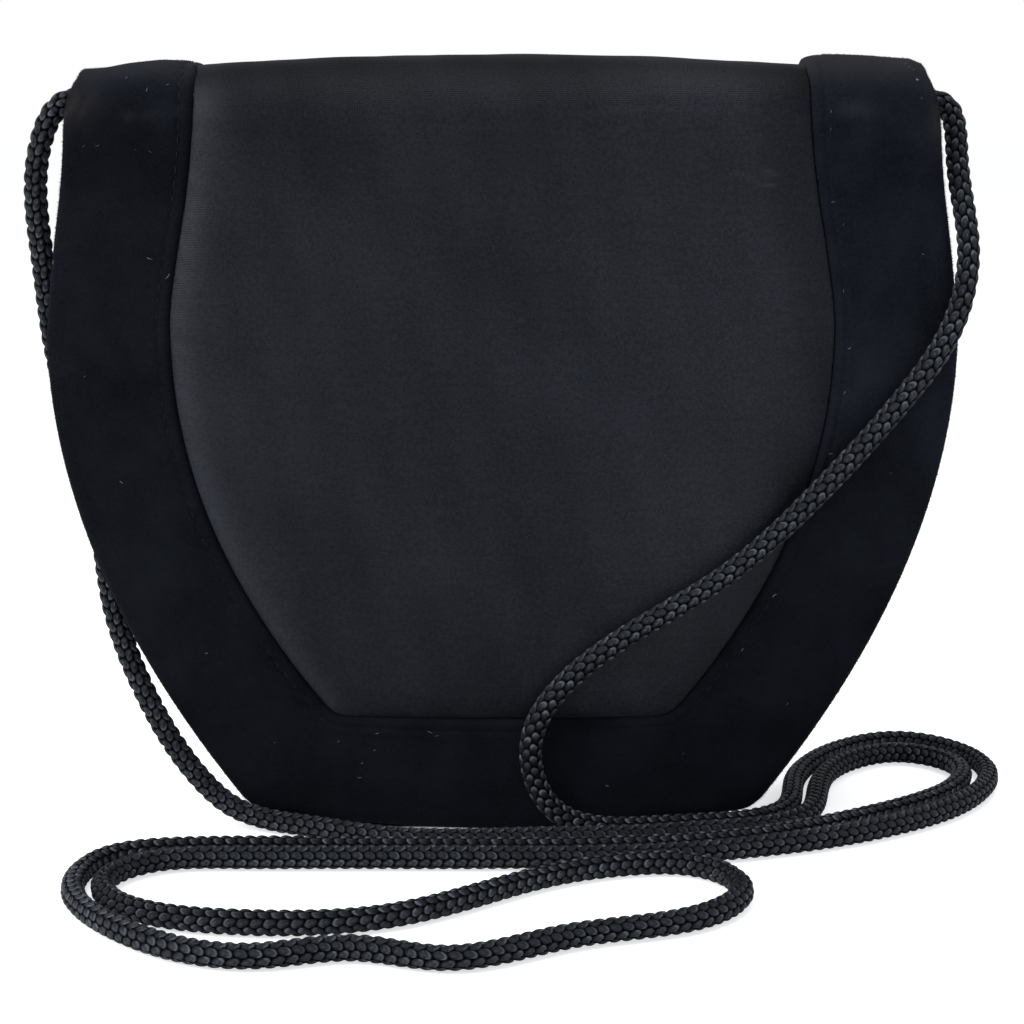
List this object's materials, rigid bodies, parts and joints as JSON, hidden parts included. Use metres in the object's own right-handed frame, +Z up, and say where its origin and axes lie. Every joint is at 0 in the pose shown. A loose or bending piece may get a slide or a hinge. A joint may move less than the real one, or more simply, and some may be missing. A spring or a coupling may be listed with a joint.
{
  "type": "evening shoulder bag",
  "caption": "Small black evening shoulder bag: flat pouch under a full-length flap with a padded satin centre and velvet border, on a long braided cord lying in loops in front of it.",
  "frame": {"origin": "middle of the pouch's flat bottom, on the surface the bag stands on, under the snap", "axes": "+X to the right seen from the front, -Y out of the flap's front, +Y out of the back panel, +Z up"},
  "size_m": [0.2104, 0.1411, 0.1607],
  "materials": {
    "black_velvet": "short dense pile, dark with a soft sheen at its edges",
    "black_satin": "soft sheen, padded from behind",
    "black_pouch_satin": "soft sheen, laid flat over card",
    "black_lining": "thin smooth lining cloth",
    "white_wadding": "soft matte fibre",
    "grey_card": "matte",
    "black_cord": "braided, with a dull silk-like gleam on each strand",
    "black_metal": "smooth black lacquer"
  },
  "bodies": {
    "bag_body": {"back_panel": "black_pouch_satin", "back_board": "grey_card", "front_panel": "black_pouch_satin", "front_board": "grey_card", "gusset": "black_pouch_satin", "lining": "black_lining", "snap_socket": "black_metal", "cord_eyelet_left": "black_metal", "cord_eyelet_right": "black_metal", "cord_knot_left": "black_cord", "cord_knot_right": "black_cord", "shoulder_cord": "black_cord"},
    "flap": {"velvet_border": "black_velvet", "satin_panel": "black_satin", "flap_wadding": "white_wadding", "flap_board": "grey_card", "flap_lining": "black_lining", "snap_stud": "black_metal"}
  },
  "joints": [
    {"name": "flap_fold", "type": "hinge", "parent": "bag_body", "child": "flap", "pos_m": [0, 0.0133, 0.15575], "axis": [-1, 0, 0], "range_deg": [0, 180], "deforming": ["shoulder_cord"]}
  ]
}
